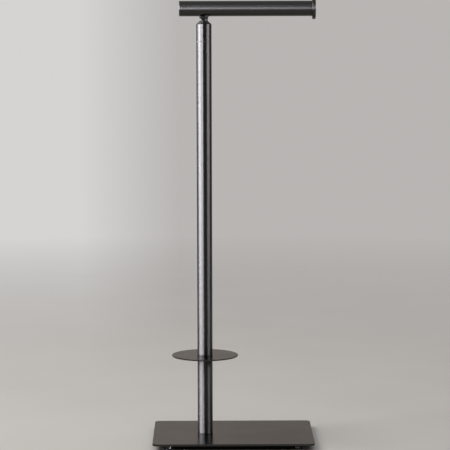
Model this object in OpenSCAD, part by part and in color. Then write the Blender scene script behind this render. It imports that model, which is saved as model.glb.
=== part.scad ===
// Free-standing toilet roll holder: a low rectangular base, an offset round post with a spare-roll
// tray, and a lift-off head whose short neck carries a swivelling roll arm.
// +Z is up and the roll arm points along +X. The origin is on the floor, at the centre of the
// holder's overall box. All sizes are in millimetres.

/* [Base] */
// Width of the base plate, along the roll arm
base_w = 200; // [185:1:215]
// Depth of the base plate
base_d = 145; // [120:1:170]
// Thickness of the base plate
base_t = 2.5; // [2.5:0.5:6]
// Corner radius of the base plate
base_corner_r = 6.5; // [1:0.5:8]
// Distance from the base's left edge to the post's axis
post_from_left = 65; // [55:1:75]

/* [Ballast and feet] */
// Gap between the ballast plate and the base's left and right edges
ballast_side_inset = 24; // [24:1:35]
// Gap between the ballast plate and the base's front and rear edges
ballast_end_inset = 8; // [8:1:20]
// Thickness of the ballast plate
ballast_t = 4; // [4:0.5:5]
// Thickness of the adhesive pad that holds the ballast plate
pad_t = 0.5; // [0.3:0.1:0.8]
// Height of each foot
foot_h = 6; // [5.8:0.1:9]
// Diameter of each foot where it meets the base plate
foot_d = 12; // [10:1:12]
// Distance from the base's edges to each foot's centre
foot_inset = 17.5; // [14:0.5:18]

/* [Post] */
// Outside diameter of the post and arm tubes
tube_d = 19; // [19:1:22]
// Wall thickness of the tubes
tube_wall = 1.5; // [1.2:0.1:1.5]
// Height of the spare-roll tray's top face above the base plate
tray_h = 99.3; // [80:0.1:140]
// Diameter of the spare-roll tray
tray_d = 83; // [60:1:110]
// Thickness of the spare-roll tray
tray_t = 1.5; // [1:0.5:3]
// Height of the joint between post and head above the base plate
seam_h = 491.6; // [400:0.1:650]

/* [Head] */
// Height of the head's straight side
head_side_h = 21.1; // [20:0.1:30]
// Height of the head's conical shoulder
shoulder_h = 4; // [3:0.5:6]
// Length of the spigot below the joint
spigot_l = 30; // [26:1:40]
// Diameter of the neck's waist
waist_d = 9.8; // [9.2:0.1:9.8]
// Diameter of the neck where it meets the arm
neck_top_d = 13.2; // [13:0.1:13.6]

/* [Roll arm] */
// Distance from the post's axis to the arm's plain end
arm_left = 30.5; // [24:0.5:50]
// Distance from the post's axis to the outer face of the arm's flange
arm_right = 137.9; // [132:0.1:160]
// Height of the neck between the shoulder and the arm
neck_h = 5.6; // [5.6:0.1:8]
// Diameter of the flange that keeps the roll on the arm
flange_d = 26.6; // [22:0.2:34]
// Thickness of the flange
flange_t = 4; // [2:0.5:5]

/* [Hidden] */
$fn = 96;
// Overlap that makes a cut run clear through a face
cut = 1;

// Colours of the finishes
gunmetal = "#3c3a39";
black = "#151515";
steel = "#a9abad";
acetal = "#1f1f20";
silicone = "#9a9a97";
foam = "#2a2a2a";

// The post's axis, with the overall box centred on the origin
left_reach = max(post_from_left, arm_left);
right_reach = max(arm_right, base_w - post_from_left);
post_x = (left_reach - right_reach) / 2;
base_x = post_x - post_from_left + base_w / 2;

// Radii of the fits
tube_r = tube_d / 2;
bore_r = tube_r - tube_wall;
thread_r = 4;
clear_r = 4.2;
pin_r = 1.5;
pin_offset = 5.75;
spigot_r = 6;
spigot_seat_r = 6.5;
running_gap = 0.05;
pivot_r = 3;
bush_r = 4;
flange_bush_r = 6;

// Levels of the base
plate_z = foot_h;
base_top = foot_h + base_t;
pad_z = plate_z - pad_t;
ballast_z = pad_z - ballast_t;

// Levels of the post
insert_l = 18;
foot_insert_l = 20;
stud_l = 30;
bolt_l = 25;
tray_top = base_top + tray_h;
tray_z = tray_top - tray_t;
lip_t = 0.6;
lip_r = tube_r - 0.35;
seam_z = base_top + seam_h;
upper_top = seam_z - lip_t;
sleeve_l = spigot_l + 2;

// Levels of the head
spigot_seat_h = 6;
cavity_h = 14;
bush_flange_t = 1;
washer_t = 1;
nut_h = 4.5;
nut_flats = 10;
nut_corner_d = nut_flats / cos(30);
pin_below_nut = 0.6;
thrust_t = 0.4;
thrust_r = 4.9;
shoulder_z = seam_z + head_side_h;
shoulder_top = shoulder_z + shoulder_h;
shoulder_top_r = 4.9;
edge_r = 0.8;
shoulder_edge_r = 0.4;
bush_z = seam_z + cavity_h;
bush_top = shoulder_top - 3.3;
nut_top = bush_z - bush_flange_t - washer_t;
ring_z = seam_z - 22;
ring_r = 0.72;
groove_r = 4.5;
groove_w = 1.6;

// Levels of the arm
arm_bottom = shoulder_top + neck_h;
arm_z = arm_bottom + tube_r;
neck_z = shoulder_top + thrust_t;
waist_h = 1.5;
flare_r = 5;
flare_turn = 45;
saddle_depth = 0.8;
stud_rise = 13;
arm_block_l = 24;
plug_head_t = 2.5;
plug_spigot_l = 10;
arm_tube_left = -arm_left + plug_head_t;
arm_tube_right = arm_right - flange_t;
arm_tube_l = arm_tube_right - arm_tube_left;

// A rectangle with rounded corners, centred on the origin
module rounded_rectangle(w, d, r) {
    square([w - 2 * r, d], center = true);
    square([w, d - 2 * r], center = true);
    for (x = [-1, 1], y = [-1, 1])
        translate([x * (w / 2 - r), y * (d / 2 - r)]) circle(r);
}

// A ring about the post's axis, from height z up
module post_ring(z, h, outer_r, inner_r) {
    translate([post_x, 0, z]) difference() {
        cylinder(h = h, r = outer_r);
        translate([0, 0, -cut]) cylinder(h = h + 2 * cut, r = inner_r);
    }
}

// A turned piece about the post's axis, from an outline of radius and height
module turned(points) {
    translate([post_x, 0, 0]) rotate_extrude() polygon(points);
}

// A round hole or pin parallel to Z
module upright(x, y, z, h, r) {
    translate([x, y, z]) cylinder(h = h, r = r);
}

// A cylinder along the roll arm, starting x from the post's axis
module along_arm(x, l, r) {
    translate([post_x + x, 0, arm_z]) rotate([0, 90, 0]) cylinder(h = l, r = r);
}

// A piece of revolution about the arm's axis, from an outline of radius and distance
module arm_turned(points) {
    translate([post_x, 0, arm_z]) rotate([0, 90, 0]) rotate_extrude() polygon(points);
}

// The points of an arc about (cx, cy), from angle a to angle b
function arc(cx, cy, r, a, b, n = 6) =
    [for (i = [0:n]) let (t = a + (b - a) * i / n) [cx + r * cos(t), cy + r * sin(t)]];

// The base plate, drilled for the post's bolt and its locating pin
module base_plate() {
    color(gunmetal) difference() {
        translate([base_x, 0, plate_z]) linear_extrude(base_t)
            rounded_rectangle(base_w, base_d, base_corner_r);
        upright(post_x, 0, plate_z - cut, base_t + 2 * cut, clear_r);
        upright(post_x, pin_offset, plate_z - cut, base_t + 2 * cut, pin_r);
    }
}

// The ballast plate, with a countersunk seat for the bolt's head
module ballast_plate() {
    color(black) difference() {
        translate([base_x, 0, ballast_z]) linear_extrude(ballast_t)
            rounded_rectangle(base_w - 2 * ballast_side_inset, base_d - 2 * ballast_end_inset, 3);
        turned([
            [0, ballast_z - cut], [2 * thread_r, ballast_z - cut], [2 * thread_r, ballast_z],
            [thread_r, ballast_z + thread_r], [thread_r, pad_z + cut], [0, pad_z + cut]
        ]);
    }
}

// The double-sided pad between the base plate and the ballast plate
module adhesive_pad() {
    color(foam) difference() {
        translate([base_x, 0, pad_z]) linear_extrude(pad_t)
            rounded_rectangle(base_w - 2 * ballast_side_inset, base_d - 2 * ballast_end_inset, 3);
        upright(post_x, 0, pad_z - cut, pad_t + 2 * cut, thread_r + 1);
    }
}

// One foot, a slightly tapered button with a rounded lower edge
module foot(side, end) {
    top_r = foot_d / 2;
    low_r = top_r - 0.4;
    color(silicone)
        translate([base_x + side * (base_w / 2 - foot_inset), end * (base_d / 2 - foot_inset), 0])
        rotate_extrude()
        polygon(concat([[0, 0]], arc(low_r - edge_r, edge_r, edge_r, -90, 0),
            [[top_r, foot_h], [0, foot_h]]));
}

module foot_front_left() foot(-1, -1);
module foot_front_right() foot(1, -1);
module foot_rear_left() foot(-1, 1);
module foot_rear_right() foot(1, 1);

// The countersunk socket screw that clamps ballast, base plate and post together
module post_bolt() {
    socket_depth = 2.6;
    socket_flats = 5;
    color(steel) difference() {
        turned([
            [0, ballast_z], [2 * thread_r, ballast_z], [thread_r, ballast_z + thread_r],
            [thread_r, ballast_z + bolt_l - 0.6], [thread_r - 0.6, ballast_z + bolt_l],
            [0, ballast_z + bolt_l]
        ]);
        translate([post_x, 0, ballast_z - cut])
            cylinder(h = socket_depth + cut, d = socket_flats / cos(30), $fn = 6);
    }
}

// The pin that stops the post from turning on the base plate
module locating_pin() {
    color(steel) upright(post_x, pin_offset, plate_z, base_t + 6, pin_r);
}

// The plug in the foot of the post, tapped for the bolt
module post_foot_insert() {
    color(steel) difference() {
        post_ring(base_top, foot_insert_l, bore_r, thread_r);
        upright(post_x, pin_offset, base_top - cut, cut + 7, pin_r);
    }
}

// The short tube below the tray
module lower_tube() {
    color(gunmetal) post_ring(base_top, tray_z - base_top, tube_r, bore_r);
}

// The tapped plug in the top of the short tube
module lower_head_insert() {
    color(steel) post_ring(tray_z - insert_l, insert_l, bore_r, thread_r);
}

// The stud that draws both tubes onto the tray
module joint_stud() {
    bottom = tray_z + tray_t / 2 - stud_l / 2;
    color(steel) upright(post_x, 0, bottom, stud_l, thread_r);
}

// The spare-roll tray, a thin disc clamped between the tubes
module tray_disc() {
    color(gunmetal) post_ring(tray_z, tray_t, tray_d / 2, clear_r);
}

// The tapped plug in the bottom of the long tube
module upper_foot_insert() {
    color(steel) post_ring(tray_top, insert_l, bore_r, thread_r);
}

// The long tube above the tray
module upper_tube() {
    color(gunmetal) post_ring(tray_top, upper_top - tray_top, tube_r, bore_r);
}

// The guide sleeve in the post's mouth, with a thin lip that the head rests on
module socket_sleeve() {
    guide_r = spigot_r + running_gap;
    color(acetal) turned([
        [guide_r, upper_top - sleeve_l], [bore_r, upper_top - sleeve_l], [bore_r, upper_top],
        [lip_r, upper_top], [lip_r, seam_z], [guide_r, seam_z]
    ]);
}

// The head's shell: a straight side, a conical shoulder and a hollow underside
module head_cap() {
    passage_r = pivot_r + 0.3;
    slope = atan(shoulder_h / (tube_r - shoulder_top_r));
    color(gunmetal) turned(concat(
        [
            [spigot_seat_r, seam_z],
            [tube_r, seam_z]
        ],
        arc(tube_r - shoulder_edge_r, shoulder_z - shoulder_edge_r * tan((90 - slope) / 2),
            shoulder_edge_r, 0, 90 - slope),
        [
            [shoulder_top_r, shoulder_top],
            [passage_r, shoulder_top],
            [passage_r, bush_top],
            [bush_r, bush_top],
            [bush_r, bush_z],
            [spigot_seat_r, bush_z]
        ]
    ));
}

// The plug that slides into the post's sleeve, pressed into the head's shell
module head_spigot() {
    bottom = seam_z - spigot_l;
    color(steel) turned([
        [0, bottom], [spigot_r - 1, bottom], [spigot_r, bottom + 1],
        [spigot_r, ring_z - groove_w / 2], [groove_r, ring_z - groove_w / 2],
        [groove_r, ring_z + groove_w / 2], [spigot_r, ring_z + groove_w / 2],
        [spigot_r, seam_z], [spigot_seat_r, seam_z],
        [spigot_seat_r, seam_z + spigot_seat_h], [0, seam_z + spigot_seat_h]
    ]);
}

// The ring that takes up the spigot's play
module spigot_o_ring() {
    color(black) translate([post_x, 0, ring_z]) rotate_extrude()
        translate([groove_r + ring_r, 0]) circle(ring_r, $fn = 32);
}

// The flanged bush that the arm's pivot turns in
module swivel_bush() {
    guide_r = pivot_r + running_gap;
    color(acetal) turned([
        [guide_r, bush_z - bush_flange_t], [flange_bush_r, bush_z - bush_flange_t],
        [flange_bush_r, bush_z], [bush_r, bush_z], [bush_r, bush_top], [guide_r, bush_top]
    ]);
}

// The thin ring between the shoulder and the neck
module thrust_washer() {
    color(acetal) post_ring(shoulder_top, thrust_t, thrust_r, pivot_r + 0.2);
}

// The turned neck: pivot pin below, waist, flared collar with a shallow saddle, thread above
module swivel_neck() {
    waist_r = waist_d / 2;
    flare_z = neck_z + waist_h;
    top_r = neck_top_d / 2;
    flare_end_r = waist_r + flare_r * (1 - cos(flare_turn));
    flare_end_z = flare_z + flare_r * sin(flare_turn);
    rim_z = flare_end_z + (top_r - flare_end_r) / tan(flare_turn);
    collar_z = arm_bottom + saddle_depth;
    color(gunmetal) union() {
        difference() {
            turned(concat(
                [[0, nut_top - nut_h - pin_below_nut], [pivot_r, nut_top - nut_h - pin_below_nut],
                    [pivot_r, neck_z], [waist_r, neck_z]],
                arc(waist_r + flare_r, flare_z, flare_r, 180, 180 - flare_turn),
                [[top_r, rim_z], [top_r, collar_z], [0, collar_z]]
            ));
            along_arm(-top_r - cut, 2 * (top_r + cut), tube_r);
        }
        upright(post_x, 0, neck_z, arm_bottom + stud_rise - neck_z, pivot_r);
    }
}

// The springy washer that gives the swivel its light drag
module spring_washer() {
    color(steel) post_ring(nut_top, washer_t, 5.5, pivot_r + 0.1);
}

// The hexagon nut that holds the neck down
module pivot_nut() {
    color(steel) translate([post_x, 0, nut_top - nut_h]) difference() {
        cylinder(h = nut_h, d = nut_corner_d, $fn = 6);
        translate([0, 0, -cut]) cylinder(h = nut_h + 2 * cut, r = pivot_r);
    }
}

// The solid block inside the arm, tapped across for the neck
module arm_block() {
    color(steel) difference() {
        along_arm(-arm_block_l / 2, arm_block_l, bore_r);
        upright(post_x, 0, arm_bottom - cut, cut + stud_rise, pivot_r);
    }
}

// The arm's tube, drilled below for the neck's thread
module arm_tube() {
    color(gunmetal) difference() {
        along_arm(arm_tube_left, arm_tube_l, tube_r);
        along_arm(arm_tube_left - cut, arm_tube_l + 2 * cut, bore_r);
        upright(post_x, 0, arm_bottom - cut, 3 * cut + tube_wall, pivot_r + 0.2);
    }
}

// The flush plug in the arm's plain end, with a rounded rim
module end_plug() {
    color(gunmetal) arm_turned(concat(
        [[0, -arm_left]],
        arc(tube_r - edge_r, edge_r - arm_left, edge_r, -90, 0),
        [[tube_r, arm_tube_left], [bore_r, arm_tube_left],
            [bore_r, arm_tube_left + plug_spigot_l], [0, arm_tube_left + plug_spigot_l]]
    ));
}

// The flange at the arm's far end, with its plug inside the tube
module end_flange() {
    inner_rim_r = 0.3;
    face_rim_r = 0.8;
    outer_r = flange_d / 2;
    color(gunmetal) arm_turned(concat(
        [[0, arm_tube_right - plug_spigot_l], [bore_r, arm_tube_right - plug_spigot_l],
            [bore_r, arm_tube_right]],
        arc(outer_r - inner_rim_r, arm_tube_right + inner_rim_r, inner_rim_r, -90, 0),
        arc(outer_r - face_rim_r, arm_right - face_rim_r, face_rim_r, 0, 90),
        [[0, arm_right]]
    ));
}

base_plate();
ballast_plate();
adhesive_pad();
foot_front_left();
foot_front_right();
foot_rear_left();
foot_rear_right();
post_bolt();
locating_pin();
post_foot_insert();
lower_tube();
lower_head_insert();
joint_stud();
tray_disc();
upper_foot_insert();
upper_tube();
socket_sleeve();
head_cap();
head_spigot();
spigot_o_ring();
swivel_bush();
thrust_washer();
swivel_neck();
spring_washer();
pivot_nut();
arm_block();
arm_tube();
end_plug();
end_flange();
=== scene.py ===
"""Free-standing toilet roll holder in dark gunmetal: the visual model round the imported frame.

Lengths are in metres. Every size and place comes from the CAD nodes' boxes, so each piece built
here lies where its node lies. Turned pieces are lathed from outlines with rounded corners.
"""

import math

import bmesh
import bpy
from mathutils import Matrix, Vector


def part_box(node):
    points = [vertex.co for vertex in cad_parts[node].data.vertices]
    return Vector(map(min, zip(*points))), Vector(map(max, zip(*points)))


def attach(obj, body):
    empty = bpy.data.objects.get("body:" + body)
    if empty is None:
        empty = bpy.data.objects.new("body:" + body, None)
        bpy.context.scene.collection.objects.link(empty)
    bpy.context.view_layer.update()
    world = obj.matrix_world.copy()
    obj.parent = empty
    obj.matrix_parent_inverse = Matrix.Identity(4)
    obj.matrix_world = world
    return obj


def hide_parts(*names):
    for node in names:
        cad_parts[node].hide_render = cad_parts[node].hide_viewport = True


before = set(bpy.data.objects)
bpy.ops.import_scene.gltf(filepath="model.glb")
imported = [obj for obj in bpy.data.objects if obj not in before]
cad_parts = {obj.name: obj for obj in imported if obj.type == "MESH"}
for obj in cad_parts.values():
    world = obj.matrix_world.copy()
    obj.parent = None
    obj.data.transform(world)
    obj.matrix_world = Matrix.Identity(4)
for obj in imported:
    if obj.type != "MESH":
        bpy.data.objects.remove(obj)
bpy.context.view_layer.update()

MM = 0.001


# ---------------------------------------------------------------- places read from the frame

def size(node):
    """A CAD node's width, depth and height."""
    low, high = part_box(node)
    return high - low


def middle(node):
    """The centre of a CAD node's box."""
    low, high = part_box(node)
    return (low + high) / 2


def low_z(node):
    """The height of a CAD node's lowest point."""
    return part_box(node)[0].z


def high_z(node):
    """The height of a CAD node's highest point."""
    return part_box(node)[1].z


# The post's foot on the floor, the height of the base plate's top, the point of the arm's axis
# above the post, and the outer and inner radius that the post's and the arm's tubes share.
POST = Vector((middle("upper_tube").x, middle("upper_tube").y, 0))
BASE_TOP = high_z("base_plate")
ARM = Vector((POST.x, POST.y, middle("arm_tube").z))
TUBE_R = size("upper_tube").x / 2
BORE_R = size("post_foot_insert").x / 2


# ---------------------------------------------------------------- camera

CAMERA_FROM_POST = Vector((0.0089, -2.6871, 0.5657))   # from the post's foot on the base plate
CAMERA_PITCH = math.radians(6.428)
CAMERA_TURN = math.radians(0.354)
CAMERA_ROLL = math.radians(0.151)
SENSOR = 36.0
FOCAL_LENGTH = 173.33


def make_camera():
    """The camera, a little above the roll arm's height and tilted down."""
    data = bpy.data.cameras.new("camera")
    data.sensor_width = SENSOR
    data.lens = FOCAL_LENGTH
    data.clip_end = 100
    camera = bpy.data.objects.new("camera", data)
    bpy.context.scene.collection.objects.link(camera)
    turn = (
        Matrix.Rotation(-CAMERA_TURN, 4, "Z")
        @ Matrix.Rotation(math.pi / 2 - CAMERA_PITCH, 4, "X")
        @ Matrix.Rotation(-CAMERA_ROLL, 4, "Z")
    )
    place = Vector((POST.x, POST.y, BASE_TOP)) + CAMERA_FROM_POST
    camera.matrix_world = Matrix.Translation(place) @ turn
    bpy.context.scene.camera = camera


# ---------------------------------------------------------------- mesh building

EDGE_MARGIN = 0.35 * MM     # how far past an arc its flattening point lies, at most
SHARP_ANGLE = math.radians(50)
WELD = 1e-7         # points nearer than this become one
ON_AXIS = 1e-9      # a radius under this counts as none


def rounded(outline, steps=6):
    """The outline (radius, height, corner radius) with each corner turned into an arc.

    A point just outside each arc keeps the flat stretches flat in shading.
    """
    points = []
    for i, (r, z, fillet) in enumerate(outline):
        here = Vector((r, z))
        if fillet <= 0:
            points.append(here)
            continue
        before = Vector(outline[i - 1][:2]) - here
        after = Vector(outline[(i + 1) % len(outline)][:2]) - here
        opening = before.angle(after)
        reach = fillet / math.tan(opening / 2)
        margin = 0.5 * min(before.length, after.length) - reach
        edge = max(0.0, min(EDGE_MARGIN, margin))
        before.normalize()
        after.normalize()
        centre = here + (before + after).normalized() * (fillet / math.sin(opening / 2))
        first = here + before * reach - centre
        last = here + after * reach - centre
        turn = math.pi - opening
        if edge > 0:
            points.append(here + before * (reach + edge))
        for k in range(steps + 1):
            a, b = math.sin(turn * (1 - k / steps)), math.sin(turn * k / steps)
            points.append(centre + (first * a + last * b) / math.sin(turn))
        if edge > 0:
            points.append(here + after * (reach + edge))
    return points


def new_piece(name, mesh_maker, material, body, nodes):
    """A piece made by mesh_maker, which rides on a body and stands for CAD nodes."""
    mesh = bpy.data.meshes.new(name)
    bm = bmesh.new()
    mesh_maker(bm)
    bmesh.ops.remove_doubles(bm, verts=bm.verts, dist=WELD)
    bmesh.ops.recalc_face_normals(bm, faces=bm.faces)
    for face in bm.faces:
        face.smooth = True
    bm.to_mesh(mesh)
    bm.free()
    mesh.set_sharp_from_angle(angle=SHARP_ANGLE)
    mesh.materials.append(material)
    piece = bpy.data.objects.new(name, mesh)
    bpy.context.scene.collection.objects.link(piece)
    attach(piece, body)
    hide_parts(*nodes)
    return piece


def lathe(bm, points, place, closed, segments=128, lift=None):
    """Revolves points of (radius, height) about Z, then moves them by the matrix place.

    A closed outline makes a ring; an open one runs from axis to axis. lift, if given, changes
    each point's position before it is placed.
    """
    rings = []
    for r, z in points:
        if r < ON_AXIS:
            spots = [Vector((0, 0, z))]
        else:
            angles = [2 * math.pi * k / segments for k in range(segments)]
            spots = [Vector((r * math.cos(a), r * math.sin(a), z)) for a in angles]
        if lift:
            spots = [lift(p) for p in spots]
        rings.append([bm.verts.new(place @ p) for p in spots])
    pairs = list(zip(rings, rings[1:]))
    if closed:
        pairs.append((rings[-1], rings[0]))
    for a, b in pairs:
        for k in range(segments):
            n = (k + 1) % segments
            corners = [a[k % len(a)], a[n % len(a)], b[n % len(b)], b[k % len(b)]]
            unique = list(dict.fromkeys(corners))
            if len(unique) > 2:
                bm.faces.new(unique)


def turned_on_post(outline, closed=True, segments=128):
    """A mesh maker for a piece turned about the post's axis; heights are above the floor."""
    return lambda bm: lathe(bm, rounded(outline), Matrix.Translation(POST), closed, segments)


def turned_on_arm(outline, closed=True, segments=128):
    """A mesh maker for a piece turned about the arm's axis; heights run along +X from the post."""
    place = Matrix.Translation(ARM) @ Matrix.Rotation(math.pi / 2, 4, "Y")
    return lambda bm: lathe(bm, rounded(outline), place, closed, segments)


def tube_outline(z0, z1, outer, inner, fillet):
    """The section of a tube's wall with lightly broken edges, softer outside than inside."""
    return [
        (inner, z0, fillet * 0.6), (outer, z0, fillet),
        (outer, z1, fillet), (inner, z1, fillet * 0.6),
    ]


def rectangle_loop(width, depth, corner, steps=10):
    """The points of a rectangle with rounded corners, anticlockwise about its centre."""
    points = []
    for i, (sx, sy) in enumerate([(1, 1), (-1, 1), (-1, -1), (1, -1)]):
        centre = Vector((sx * (width / 2 - corner), sy * (depth / 2 - corner)))
        for k in range(steps + 1):
            a = math.pi / 2 * (i + k / steps)
            points.append(centre + corner * Vector((math.cos(a), math.sin(a))))
    return points


def slab(bm, width, depth, corner, levels, place):
    """A plate with rounded corners, from levels of (inset, height), bottom to top."""
    loops = []
    for inset, z in levels:
        loop = rectangle_loop(width - 2 * inset, depth - 2 * inset, corner - inset)
        loops.append([bm.verts.new(place + Vector((p.x, p.y, z))) for p in loop])
    for a, b in zip(loops, loops[1:]):
        for k in range(len(a)):
            n = (k + 1) % len(a)
            bm.faces.new([a[k], a[n], b[n], b[k]])
    bm.faces.new(list(reversed(loops[0])))
    bm.faces.new(loops[-1])


# ---------------------------------------------------------------- materials

def node_material(name):
    """A new material, its node tree, and its Principled shader."""
    material = bpy.data.materials.new(name)
    material.use_nodes = True
    tree = material.node_tree
    shader = next(n for n in tree.nodes if n.type == "BSDF_PRINCIPLED")
    return material, tree, shader


def noise(tree, scale, stretch=(1, 1, 1), detail=3):
    """Noise in the piece's own coordinates; stretch multiplies the scale on each axis."""
    coordinates = tree.nodes.new("ShaderNodeTexCoord")
    mapping = tree.nodes.new("ShaderNodeMapping")
    mapping.inputs["Scale"].default_value = stretch
    texture = tree.nodes.new("ShaderNodeTexNoise")
    texture.inputs["Scale"].default_value = scale
    texture.inputs["Detail"].default_value = detail
    tree.links.new(coordinates.outputs["Object"], mapping.inputs["Vector"])
    tree.links.new(mapping.outputs["Vector"], texture.inputs["Vector"])
    return texture.outputs["Fac"]


def ranged(tree, value, low, high, start=0.3, end=0.7):
    """The value's stretch from start to end, mapped to low..high."""
    node = tree.nodes.new("ShaderNodeMapRange")
    node.inputs["From Min"].default_value = start
    node.inputs["From Max"].default_value = end
    node.inputs["To Min"].default_value = low
    node.inputs["To Max"].default_value = high
    tree.links.new(value, node.inputs["Value"])
    return node.outputs["Result"]


def mixed(tree, factor, a, b):
    """A mix of two colours, each a socket or a constant, from a at factor 0 to b at 1."""
    node = tree.nodes.new("ShaderNodeMix")
    node.data_type = "RGBA"
    tree.links.new(factor, node.inputs["Factor"])
    for socket, colour in ((node.inputs["A"], a), (node.inputs["B"], b)):
        if isinstance(colour, tuple):
            socket.default_value = (*colour, 1)
        else:
            tree.links.new(colour, socket)
    return node.outputs["Result"]


def bumped(tree, shader, height, strength, distance):
    """Adds a bump of the given depth to the shader."""
    node = tree.nodes.new("ShaderNodeBump")
    node.inputs["Strength"].default_value = strength
    node.inputs["Distance"].default_value = distance
    tree.links.new(height, node.inputs["Height"])
    tree.links.new(node.outputs["Normal"], shader.inputs["Normal"])


GUNMETAL_DARK = (0.054, 0.052, 0.052)
GUNMETAL_LIGHT = (0.060, 0.058, 0.057)
BRUSH_SCALE = 900.0     # brush lines in each metre along the tube
BRUSH_STRETCH = 0.03    # the share of that scale round the tube, which draws the lines out


def gunmetal_tube(name, axis, anisotropy):
    """Dark coated metal, brushed round the given axis, so highlights spread along it."""
    material, tree, shader = node_material(name)
    stretch = [1 if a == axis else BRUSH_STRETCH for a in "XYZ"]
    brush = noise(tree, BRUSH_SCALE, stretch, 4)
    cloud = noise(tree, 28)
    shader.inputs["Metallic"].default_value = 1
    shader.inputs["Anisotropic"].default_value = anisotropy
    shader.inputs["Anisotropic Rotation"].default_value = 0.25
    tangent = tree.nodes.new("ShaderNodeTangent")
    tangent.direction_type = "RADIAL"
    tangent.axis = axis
    tree.links.new(tangent.outputs["Tangent"], shader.inputs["Tangent"])
    tree.links.new(ranged(tree, cloud, 0.323, 0.337), shader.inputs["Roughness"])
    colour = mixed(tree, ranged(tree, brush, 0.3, 0.7), GUNMETAL_DARK, GUNMETAL_LIGHT)
    tree.links.new(colour, shader.inputs["Base Color"])
    bumped(tree, shader, brush, 0.02, 0.01 * MM)
    return material


def gunmetal_plate(name, roughness, edge_tint):
    """The same coating on flat sheet or a small turned part, with a faint orange-peel.

    edge_tint dims what it mirrors at a low angle.
    """
    material, tree, shader = node_material(name)
    grain = noise(tree, 1400, detail=2)
    cloud = noise(tree, 22)
    shader.inputs["Metallic"].default_value = 1
    shader.inputs["Specular Tint"].default_value = (edge_tint, edge_tint, edge_tint, 1)
    tree.links.new(
        ranged(tree, cloud, roughness, roughness + 0.05), shader.inputs["Roughness"]
    )
    colour = mixed(tree, ranged(tree, grain, 0, 1), GUNMETAL_DARK, GUNMETAL_LIGHT)
    tree.links.new(colour, shader.inputs["Base Color"])
    bumped(tree, shader, grain, 0.1, 0.02 * MM)
    return material


def plain_finish(name, dark, light, roughness, metallic=0.0, grain=600.0, specular=0.5):
    """A matt or machined finish with fine grain and a little unevenness in its gloss.

    dark and light are grey levels.
    """
    material, tree, shader = node_material(name)
    fine = noise(tree, grain)
    cloud = noise(tree, 35, detail=2)
    shader.inputs["Metallic"].default_value = metallic
    shader.inputs["Specular IOR Level"].default_value = specular
    tree.links.new(
        ranged(tree, cloud, roughness - 0.06, roughness + 0.06), shader.inputs["Roughness"]
    )
    colour = mixed(tree, ranged(tree, fine, 0, 1), (dark,) * 3, (light,) * 3)
    tree.links.new(colour, shader.inputs["Base Color"])
    bumped(tree, shader, fine, 0.2, 0.03 * MM)
    return material


def silicone():
    """Clear, faintly grey silicone: it bends the pale floor beside it into a glint."""
    material, tree, shader = node_material("silicone_foot")
    cloud = noise(tree, 120, detail=2)
    tree.links.new(
        mixed(tree, ranged(tree, cloud, 0, 1), (0.66, 0.66, 0.65), (0.72, 0.72, 0.71)),
        shader.inputs["Base Color"],
    )
    tree.links.new(ranged(tree, cloud, 0.04, 0.10), shader.inputs["Roughness"])
    shader.inputs["Transmission Weight"].default_value = 0.97
    shader.inputs["IOR"].default_value = 1.41
    return material


def make_materials():
    """The materials: three for the slot gunmetal_tube, and one by the name of each other slot."""
    return {
        "post": gunmetal_tube("gunmetal_post", "Z", 0.94),
        "arm": gunmetal_tube("gunmetal_arm", "X", 0.86),
        "neck": gunmetal_plate("gunmetal_neck", 0.30, 1.0),
        "gunmetal_plate": gunmetal_plate("gunmetal_plate", 0.20, 0.68),
        # The ballast is black, and its colour and gloss are set near nothing, so its front face
        # also paints the deep shade under the plate.
        "ballast_black": plain_finish("ballast_black", 0.002, 0.004, 0.85, specular=0.02),
        "foam_pad": plain_finish("foam_pad", 0.03, 0.05, 0.9),
        "silicone_foot": silicone(),
        "black_acetal": plain_finish("black_acetal", 0.015, 0.022, 0.45),
        "ring_rubber": plain_finish("ring_rubber", 0.012, 0.02, 0.7),
        "plain_steel": plain_finish("plain_steel", 0.50, 0.62, 0.32, metallic=1.0, grain=800.0),
    }


# ---------------------------------------------------------------- the pieces

def build_base(materials):
    """The base plate with rounded corners and broken edges, and its four button feet."""
    width, depth = size("base_plate").xy
    z0, z1 = low_z("base_plate"), high_z("base_plate")
    corner, top_edge, low_edge = 6.5 * MM, 0.35 * MM, 0.25 * MM
    margin, steps = 0.4 * MM, 4
    turns = [math.pi / 2 * k / steps for k in range(steps + 1)]
    levels = [(low_edge + margin, z0)]
    levels += [(low_edge * (1 - math.sin(a)), z0 + low_edge * (1 - math.cos(a))) for a in turns]
    levels += [(top_edge * (1 - math.cos(a)), z1 - top_edge * (1 - math.sin(a))) for a in turns]
    levels.append((top_edge + margin, z1))
    centre = middle("base_plate").xy.to_3d()
    new_piece(
        "base_plate_top", lambda bm: slab(bm, width, depth, corner, levels, centre),
        materials["gunmetal_plate"], "stand", ["base_plate"],
    )
    for node in ["foot_front_left", "foot_front_right", "foot_rear_left", "foot_rear_right"]:
        build_foot(node, materials)


def build_foot(node, materials):
    """A button foot with a rounded lower edge and a shallow dished underside."""
    top_r = size(node).x / 2
    low_r = top_r - 0.4 * MM
    height, dish = high_z(node), 0.5 * MM
    outline = [
        (0, dish, 0), (low_r - 3.2 * MM, dish, 0.5 * MM), (low_r - 2.4 * MM, 0, 0.4 * MM),
        (low_r, 0, 0.8 * MM), (top_r, height, 0.3 * MM), (0, height, 0),
    ]
    place = Matrix.Translation(middle(node).xy.to_3d())
    new_piece(
        node + "_button", lambda bm: lathe(bm, rounded(outline), place, False, 64),
        materials["silicone_foot"], "stand", [node],
    )


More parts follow.
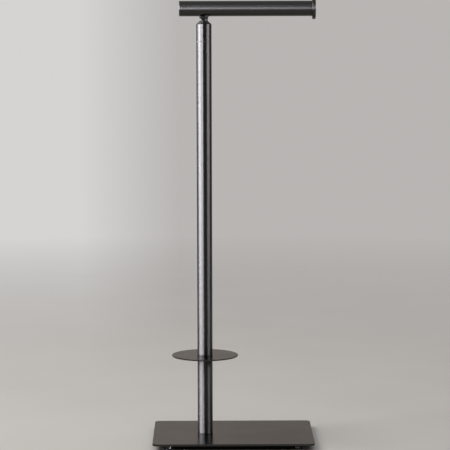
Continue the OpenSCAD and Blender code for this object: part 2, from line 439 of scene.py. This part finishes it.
def build_post(materials):
    """Both tubes, the tray between them, and the sleeve whose lip shows as the joint line."""
    post = materials["post"]
    for node in ["lower_tube", "upper_tube"]:
        outline = tube_outline(low_z(node), high_z(node), TUBE_R, BORE_R, 0.25 * MM)
        new_piece(
            node + "_skin", turned_on_post(outline, segments=192), post, "stand", [node],
        )
    tray_r, stud_hole_r = size("tray_disc").x / 2, 4.2 * MM
    tray = tube_outline(low_z("tray_disc"), high_z("tray_disc"), tray_r, stud_hole_r, 0.45 * MM)
    new_piece(
        "spare_roll_tray", turned_on_post(tray, segments=256), materials["gunmetal_plate"],
        "stand", ["tray_disc"],
    )
    lip_r = size("socket_sleeve").x / 2
    guide_r = size("head_spigot").x / 2 - 0.45 * MM
    low, lip_z, top = low_z("socket_sleeve"), high_z("upper_tube"), high_z("socket_sleeve")
    outline = [
        (guide_r, low, 0.2 * MM), (BORE_R, low, 0.3 * MM), (BORE_R, lip_z, 0),
        (lip_r, lip_z, 0), (lip_r, top, 0.15 * MM), (guide_r, top, 0.2 * MM),
    ]
    new_piece(
        "guide_sleeve", turned_on_post(outline), materials["black_acetal"], "stand",
        ["socket_sleeve"],
    )


def build_head(materials):
    """The head's shell with its conical shoulder, its spigot and ring, and the thrust washer."""
    z0, z1 = low_z("head_cap"), high_z("head_cap")
    seat_r = size("head_spigot").x / 2
    land_r = size("thrust_washer").x / 2
    bush_r = size("swivel_bush").x / 2 - 2 * MM
    bush_z, bush_top = low_z("swivel_bush") + 1 * MM, high_z("swivel_bush")
    shoulder, passage_r = 4 * MM, 3.3 * MM
    shell = [
        (seat_r, z0, 0.15 * MM), (TUBE_R, z0, 0.25 * MM), (TUBE_R, z1 - shoulder, 0.45 * MM),
        (land_r, z1, 0.2 * MM), (passage_r, z1, 0.1 * MM), (passage_r, bush_top, 0),
        (bush_r, bush_top, 0), (bush_r, bush_z, 0), (seat_r, bush_z, 0.2 * MM),
    ]
    new_piece(
        "head_shell", turned_on_post(shell, segments=192), materials["post"], "head",
        ["head_cap"],
    )
    spigot_r, lead_in = seat_r - 0.5 * MM, 1 * MM
    low, top = low_z("head_spigot"), high_z("head_spigot")
    ring_z, groove, groove_r = middle("spigot_o_ring").z, 0.8 * MM, 4.5 * MM
    outline = [
        (0, low, 0), (spigot_r - lead_in, low, 0.2 * MM), (spigot_r, low + lead_in, 0.2 * MM),
        (spigot_r, ring_z - groove, 0.1 * MM), (groove_r, ring_z - groove, 0.1 * MM),
        (groove_r, ring_z + groove, 0.1 * MM), (spigot_r, ring_z + groove, 0.1 * MM),
        (spigot_r, z0, 0), (seat_r, z0, 0), (seat_r, top, 0.2 * MM), (0, top, 0),
    ]
    new_piece(
        "spigot_plug", turned_on_post(outline, False), materials["plain_steel"], "head",
        ["head_spigot"],
    )
    wire_r, sides = size("spigot_o_ring").z / 2, 16
    ring = [
        (groove_r + wire_r + wire_r * math.cos(a), ring_z + wire_r * math.sin(a), 0)
        for a in [2 * math.pi * k / sides for k in range(sides)]
    ]
    new_piece(
        "spigot_ring", turned_on_post(ring), materials["ring_rubber"], "head",
        ["spigot_o_ring"],
    )
    low, top, bore_r = low_z("thrust_washer"), high_z("thrust_washer"), 3.2 * MM
    washer = tube_outline(low, top, land_r, bore_r, 0.1 * MM)
    new_piece(
        "neck_washer", turned_on_post(washer), materials["black_acetal"], "head",
        ["thrust_washer"],
    )


def build_neck(materials):
    """The turned neck: pivot pin, waist, flare, and a collar that the arm beds into."""
    pin_r, waist_r = 3.0 * MM, 4.9 * MM
    top_r = size("swivel_neck").x / 2
    washer_gap, waist, saddle = 0.02 * MM, 1.5 * MM, 0.8 * MM
    low, waist_z = low_z("swivel_neck"), high_z("thrust_washer") + washer_gap
    flare_z, flare_r, flare_turn = waist_z + waist, 5.0 * MM, math.radians(45)
    collar_z = low_z("arm_tube") + saddle
    foot = [(pin_r, waist_z, 0), (waist_r, waist_z, 0.15 * MM), (waist_r, flare_z, 0)]
    points = rounded([(0, low, 0), (pin_r, low, 0.4 * MM), (pin_r, waist_z, 0)])
    points += rounded(foot)[1:]
    steps = 14
    for k in range(1, steps + 1):
        a = flare_turn * k / steps
        r = waist_r + flare_r * (1 - math.cos(a))
        points.append(Vector((r, flare_z + flare_r * math.sin(a))))
    last = points[-1]
    rim_z = last.y + (top_r - last.x) / math.tan(flare_turn)
    rim = 0.2 * MM
    collar = [(last.x, last.y, 0), (top_r, rim_z, rim), (top_r, collar_z, rim), (0, collar_z, 0)]
    points += rounded(collar)[1:-1]
    rim_r, rings = points[-1].x, 12
    points += [Vector((rim_r * (1 - k / rings), collar_z)) for k in range(1, rings + 1)]

    def lift(p):
        """Beds the collar's top into the arm tube's surface."""
        return Vector((p.x, p.y, min(p.z, ARM.z - math.sqrt(TUBE_R**2 - p.y**2))))

    new_piece(
        "neck", lambda bm: lathe(bm, points, Matrix.Translation(POST), False, 128, lift),
        materials["neck"], "arm", ["swivel_neck"],
    )


def build_arm(materials):
    """The arm's tube, the flush plug in its plain end, and the flange at its far end."""
    arm = materials["arm"]
    left, right = (corner.x - POST.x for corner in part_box("arm_tube"))
    end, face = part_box("end_plug")[0].x - POST.x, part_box("end_flange")[1].x - POST.x
    joint_edge, spigot = 0.08 * MM, 10 * MM
    outline = tube_outline(left, right, TUBE_R, BORE_R, joint_edge)
    new_piece(
        "roll_arm", turned_on_arm(outline, segments=192), arm, "arm", ["arm_tube"],
    )
    plug = [
        (0, end, 0), (TUBE_R, end, 0.8 * MM), (TUBE_R, left, joint_edge), (BORE_R, left, 0),
        (BORE_R, left + spigot, 0.3 * MM), (0, left + spigot, 0),
    ]
    new_piece(
        "plain_end_plug", turned_on_arm(plug, False, 192), arm, "arm", ["end_plug"],
    )
    flange_r = size("end_flange").y / 2
    flange = [
        (0, right - spigot, 0), (BORE_R, right - spigot, 0.3 * MM), (BORE_R, right, 0),
        (flange_r, right, 0.3 * MM), (flange_r, face, 0.8 * MM), (0, face, 0),
    ]
    new_piece(
        "roll_flange", turned_on_arm(flange, False, 192), arm, "arm", ["end_flange"],
    )


# The hidden fastenings and the ballast stay as they are in CAD, each with its slot's finish.
KEPT_NODES = {
    "ballast_plate": "ballast_black", "adhesive_pad": "foam_pad", "post_bolt": "plain_steel",
    "locating_pin": "plain_steel", "post_foot_insert": "plain_steel",
    "lower_head_insert": "plain_steel", "joint_stud": "plain_steel",
    "upper_foot_insert": "plain_steel", "swivel_bush": "black_acetal",
    "spring_washer": "plain_steel", "pivot_nut": "plain_steel", "arm_block": "plain_steel",
}


def finish_kept_nodes(materials):
    """Gives each CAD node that stays its finish."""
    for node, slot_name in KEPT_NODES.items():
        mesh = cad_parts[node].data
        mesh.materials.clear()
        mesh.materials.append(materials[slot_name])


# ---------------------------------------------------------------- stage and light

FLOOR_RADIUS = 14.0
FADE_START, FADE_END = 0.45, 2.2     # distances from the origin


def make_floor():
    """A plain pale floor; for the camera it fades into the plain backdrop away from the object."""
    material, tree, shader = node_material("pale_floor")
    shader.inputs["Roughness"].default_value = 0.75
    shader.inputs["Specular IOR Level"].default_value = 0.25
    cloud = noise(tree, 6, detail=4)
    tree.links.new(
        mixed(tree, ranged(tree, cloud, 0, 1), (0.665, 0.645, 0.625), (0.695, 0.675, 0.655)),
        shader.inputs["Base Color"],
    )
    place = tree.nodes.new("ShaderNodeTexCoord")
    length = tree.nodes.new("ShaderNodeVectorMath")
    length.operation = "LENGTH"
    tree.links.new(place.outputs["Object"], length.inputs[0])
    rays = tree.nodes.new("ShaderNodeLightPath")
    seen = tree.nodes.new("ShaderNodeMath")
    seen.operation = "MULTIPLY"
    fade = ranged(tree, length.outputs["Value"], 0, 1, FADE_START, FADE_END)
    tree.links.new(fade, seen.inputs[0])
    tree.links.new(rays.outputs["Is Camera Ray"], seen.inputs[1])
    clear = tree.nodes.new("ShaderNodeBsdfTransparent")
    pick = tree.nodes.new("ShaderNodeMixShader")
    tree.links.new(seen.outputs["Value"], pick.inputs["Fac"])
    tree.links.new(shader.outputs["BSDF"], pick.inputs[1])
    tree.links.new(clear.outputs["BSDF"], pick.inputs[2])
    output = next(n for n in tree.nodes if n.type == "OUTPUT_MATERIAL")
    tree.links.new(pick.outputs["Shader"], output.inputs["Surface"])
    mesh = bpy.data.meshes.new("floor")
    bm = bmesh.new()
    bmesh.ops.create_circle(bm, cap_ends=True, segments=96, radius=FLOOR_RADIUS)
    bm.to_mesh(mesh)
    bm.free()
    mesh.materials.append(material)
    floor = bpy.data.objects.new("floor", mesh)
    bpy.context.scene.collection.objects.link(floor)


WARM, COOL = (1.0, 0.975, 0.945), (0.93, 0.94, 1.0)


def area_light(
    name, bearing, spread, low, high, distance, radiance, colour=WARM, diffuse=True, glossy=True
):
    """A soft box that faces the post, seen from it between two heights.

    bearing is its direction from the post, 0 towards the camera and positive to the left, and
    spread is half the angle that it covers. radiance is its brightness beside white paper's 1.
    diffuse and glossy say whether matt and glossy reflections show it.
    """
    wide, tall = 2 * distance * math.tan(math.radians(spread)), high - low
    data = bpy.data.lights.new(name, "AREA")
    data.shape = "RECTANGLE"
    data.size = wide
    data.size_y = tall
    data.energy = radiance * math.pi * wide * tall
    data.color = colour
    light = bpy.data.objects.new(name, data)
    bpy.context.scene.collection.objects.link(light)
    a = math.radians(bearing)
    away = Vector((-math.sin(a), -math.cos(a), 0))
    place = POST + away * distance + Vector((0, 0, (low + high) / 2))
    facing = away.to_track_quat("Z", "Y").to_matrix().to_4x4()
    light.matrix_world = Matrix.Translation(place) @ facing
    light.visible_camera = False
    light.visible_diffuse = diffuse
    light.visible_glossy = glossy
    return light


def link(light, names, state):
    """Makes a light leave out the named pieces (EXCLUDE), or light nothing else (INCLUDE)."""
    linked = bpy.data.collections.new(light.name + "_linking")
    for name in names:
        linked.objects.link(bpy.data.objects[name])
    for entry in linked.collection_objects:
        entry.light_linking.link_state = state
    light.light_linking.receiver_collection = linked


PLATES_AND_SPIGOT = ["base_plate_top", "spare_roll_tray", "spigot_plug"]
POST_PIECES = ["lower_tube_skin", "upper_tube_skin", "head_shell"]
ARM_PIECES = ["roll_arm", "plain_end_plug", "roll_flange"]

# Name, bearing, spread, lowest and highest point, radiance, and the pieces that each soft box
# is flagged off. All are flagged off the floor, the plates and the bright spigot too, which
# would mirror them as white sheets when seen from the side or from behind.
SOFT_BOXES = [
    ("left", 73, 21, 0.50, 1.7, 31.0, ["neck"]),
    ("left_back", 112, 16, 0.62, 1.7, 11.0, []),
    ("right", -65, 22, 0.58, 1.05, 18.0, []),
    ("post_left_low", 60, 35, 0.0, 0.3, 32.0, ARM_PIECES + ["neck"]),
    ("post_front_left", 37, 19, 0.39, 0.62, 17.0, ARM_PIECES + ["neck"]),
    ("post_front_left_top", 26, 10, 0.75, 1.6, 28.0, ARM_PIECES + ["neck"]),
    ("arm_front_left", 37, 19, 0.28, 0.62, 22.0, POST_PIECES + ["neck"]),
    ("arm_front_left_top", 27, 9, 0.62, 1.0, 26.0, POST_PIECES + ["neck"]),
    ("neck_left", 104, 18, 0.30, 1.7, 22.0, POST_PIECES + ARM_PIECES),
]
SOFT_BOX_DISTANCE = 1.7

# Name, bearing, radiance and colour of the two broad, dim soft boxes that only the plates and
# the spigot mirror, and what both have alike.
PLATE_BOXES = [("front", 0, 0.8, WARM), ("back", 180, 0.27, (1.0, 0.88, 0.79))]
PLATE_BOX_SPREAD, PLATE_BOX_LOW, PLATE_BOX_HIGH, PLATE_BOX_DISTANCE = 68, 0.1, 1.9, 1.9


def make_lights():
    """Soft boxes for the tubes, dim broad ones for the plates, and two lights for the rest."""
    for name, bearing, spread, low, high, radiance, kept_off in SOFT_BOXES:
        light = area_light(
            "softbox_" + name, bearing, spread, low, high, SOFT_BOX_DISTANCE, radiance, COOL,
            diffuse=False,
        )
        link(light, kept_off + PLATES_AND_SPIGOT + ["floor"], "EXCLUDE")
    for name, bearing, radiance, colour in PLATE_BOXES:
        light = area_light(
            "plate_" + name, bearing, PLATE_BOX_SPREAD, PLATE_BOX_LOW, PLATE_BOX_HIGH,
            PLATE_BOX_DISTANCE, radiance, colour, diffuse=False,
        )
        link(light, PLATES_AND_SPIGOT, "INCLUDE")
    # The key stands to the left and the fill high in front. Neither shows as a highlight.
    area_light("key", 85, 24, 0.7, 1.9, 1.2, 5.3, glossy=False)
    area_light("fill", 0, 50, 1.6, 4.0, 2.2, 0.55, glossy=False)


# The backdrop as the camera sees it, and as the pieces mirror it; both are paler to the left.
PALE_LEFT, PALE_RIGHT = (0.665, 0.655, 0.645), (0.480, 0.465, 0.452)
WALL_LEFT, WALL_RIGHT = (0.40, 0.365, 0.335), (0.29, 0.262, 0.240)
DIM_FRONT = (0.02, 0.02, 0.02)
OVERHEAD = (0.55, 0.55, 0.55)


def make_world():
    """Pale behind the object and overhead, dim in front; the camera sees one pale backdrop."""
    world = bpy.data.worlds.new("studio")
    bpy.context.scene.world = world
    world.use_nodes = True
    tree = world.node_tree
    nodes, links = tree.nodes, tree.links
    nodes.clear()
    direction = nodes.new("ShaderNodeTexCoord")
    parts = nodes.new("ShaderNodeSeparateXYZ")
    links.new(direction.outputs["Generated"], parts.inputs["Vector"])
    x, y, z = (parts.outputs[axis] for axis in "XYZ")    # each from -1 to 1
    wall = mixed(tree, ranged(tree, x, 0, 1, -0.03, 0.03), WALL_LEFT, WALL_RIGHT)
    around = mixed(tree, ranged(tree, y, 0, 1, -0.35, 0.55), DIM_FRONT, wall)
    sky = mixed(tree, ranged(tree, z, 0, 1, 0.35, 0.95), around, OVERHEAD)
    studio = nodes.new("ShaderNodeBackground")
    links.new(sky, studio.inputs["Color"])
    plain = nodes.new("ShaderNodeBackground")
    pale = mixed(tree, ranged(tree, x, 0, 1, -0.06, -0.015), PALE_LEFT, PALE_RIGHT)
    links.new(pale, plain.inputs["Color"])
    rays = nodes.new("ShaderNodeLightPath")
    pick = nodes.new("ShaderNodeMixShader")
    links.new(rays.outputs["Is Camera Ray"], pick.inputs["Fac"])
    links.new(studio.outputs["Background"], pick.inputs[1])
    links.new(plain.outputs["Background"], pick.inputs[2])
    output = nodes.new("ShaderNodeOutputWorld")
    links.new(pick.outputs["Shader"], output.inputs["Surface"])


# ---------------------------------------------------------------- the scene

bpy.context.scene.view_settings.view_transform = "Standard"
make_camera()
MATERIALS = make_materials()
build_base(MATERIALS)
build_post(MATERIALS)
build_head(MATERIALS)
build_neck(MATERIALS)
build_arm(MATERIALS)
finish_kept_nodes(MATERIALS)
make_floor()
make_lights()
make_world()

bpy.context.view_layer.update()
